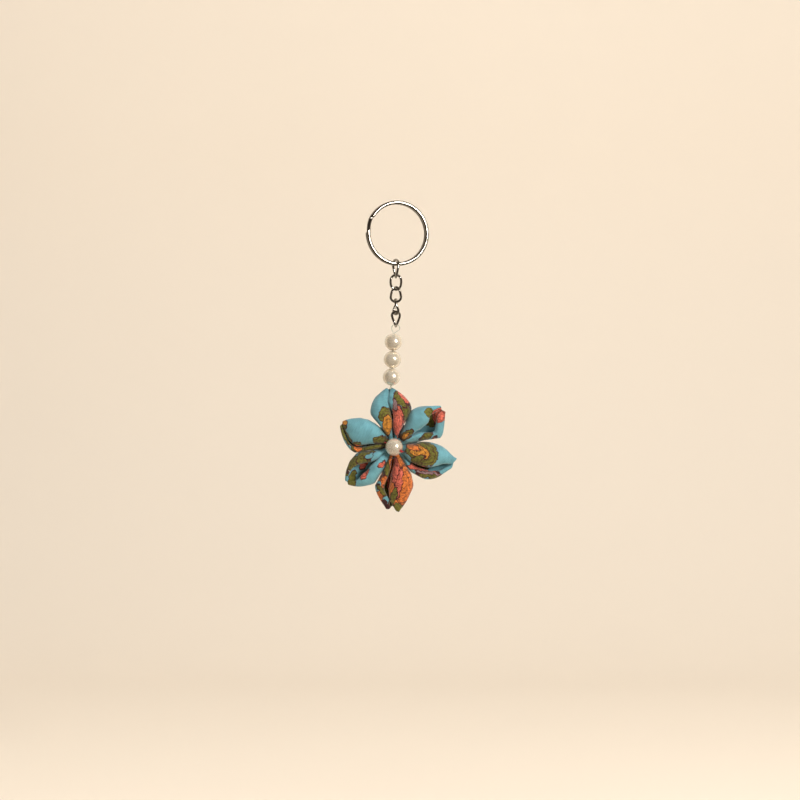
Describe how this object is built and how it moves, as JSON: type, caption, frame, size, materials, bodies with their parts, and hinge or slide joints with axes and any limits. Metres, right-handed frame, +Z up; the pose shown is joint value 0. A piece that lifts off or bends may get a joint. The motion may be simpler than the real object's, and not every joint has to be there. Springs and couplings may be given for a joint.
{
  "type": "flower key ring charm",
  "caption": "Split key ring with a short twisted-link chain, a string of pearls on a clear line, and a hanging flower of folded printed cotton petals around a sewn pearl.",
  "frame": {"origin": "where a hook bears on the inside of the split ring, at the middle of its two coils", "axes": "+Z up along the hanging charm, the flower's face and centre pearl towards -Y, the felt backing towards +Y"},
  "size_m": [0.0536, 0.0152, 0.1427],
  "materials": {
    "ring_steel": "polished nickel plate on steel, fine wear along the crest",
    "chain_steel": "nickel plate, slightly dull in the bends",
    "clear_nylon": "clear monofilament",
    "pearl": "ivory pearl lacquer on moulded beads",
    "printed_cotton": "plain weave cotton with a floral print in teal, olive, orange, coral and maroon",
    "gathering_thread": "twisted sewing thread",
    "red_thread": "twisted sewing thread",
    "backing_felt": "pressed wool felt"
  },
  "bodies": {
    "ring": {"split_ring": "ring_steel"},
    "link_1": {"link_1": "chain_steel"},
    "link_2": {"link_2": "chain_steel"},
    "link_3": {"link_3": "chain_steel"},
    "link_4": {"link_4": "chain_steel"},
    "link_5": {"link_5": "chain_steel"},
    "string": {"nylon_line": "clear_nylon"},
    "pearl_upper": {"pearl_upper": "pearl"},
    "pearl_middle": {"pearl_middle": "pearl"},
    "pearl_lower": {"pearl_lower": "pearl"},
    "flower": {"petal_top": "printed_cotton", "petal_upper_right": "printed_cotton", "petal_lower_right": "printed_cotton", "petal_bottom": "printed_cotton", "petal_lower_left": "printed_cotton", "petal_upper_left": "printed_cotton", "gathering_thread": "gathering_thread", "felt_backing": "backing_felt", "bead_thread": "red_thread"},
    "centre_pearl": {"centre_pearl": "pearl"}
  },
  "joints": [
    {"name": "link_1_swing", "type": "hinge", "parent": "ring", "child": "link_1", "pos_m": [0, 0, -0.0283], "axis": [0.9511, 0.309, 0], "range_deg": [-70, 70]},
    {"name": "link_2_swing", "type": "hinge", "parent": "link_1", "child": "link_2", "pos_m": [-0.0007, 0, -0.03355], "axis": [-0.0523, 0.9986, 0], "range_deg": [-70, 70]},
    {"name": "link_3_swing", "type": "hinge", "parent": "link_2", "child": "link_3", "pos_m": [-0.0007, 0, -0.03917], "axis": [-0.766, -0.6428, 0], "range_deg": [-70, 70]},
    {"name": "link_4_swing", "type": "hinge", "parent": "link_3", "child": "link_4", "pos_m": [-0.0007, 0, -0.04479], "axis": [0.9848, 0.1736, 0], "range_deg": [-70, 70]},
    {"name": "link_5_swing", "type": "hinge", "parent": "link_4", "child": "link_5", "pos_m": [-0.0007, 0, -0.05041], "axis": [0.7314, -0.682, 0], "range_deg": [-70, 70]},
    {"name": "string_swing", "type": "hinge", "parent": "link_5", "child": "string", "pos_m": [-0.0007, 0, -0.05603], "axis": [0, 1, 0], "range_deg": [-70, 70]},
    {"name": "pearl_upper_spin", "type": "hinge", "parent": "string", "child": "pearl_upper", "pos_m": [-0.00187, 0, -0.06325], "axis": [0.0523, 0, 0.9986], "continuous": true},
    {"name": "pearl_middle_spin", "type": "hinge", "parent": "string", "child": "pearl_middle", "pos_m": [-0.00229, 0, -0.0713], "axis": [0.0523, 0, 0.9986], "continuous": true},
    {"name": "pearl_lower_spin", "type": "hinge", "parent": "string", "child": "pearl_lower", "pos_m": [-0.00272, 0, -0.07935], "axis": [0.0523, 0, 0.9986], "continuous": true},
    {"name": "flower_swing", "type": "hinge", "parent": "string", "child": "flower", "pos_m": [-0.00299, 0, -0.08454], "axis": [-1, 0, 0], "range_deg": [-45, 45]},
    {"name": "centre_pearl_spin", "type": "hinge", "parent": "flower", "child": "centre_pearl", "pos_m": [-0.0015, -0.0048, -0.11145], "axis": [0.8942, 0, -0.4478], "continuous": true}
  ]
}
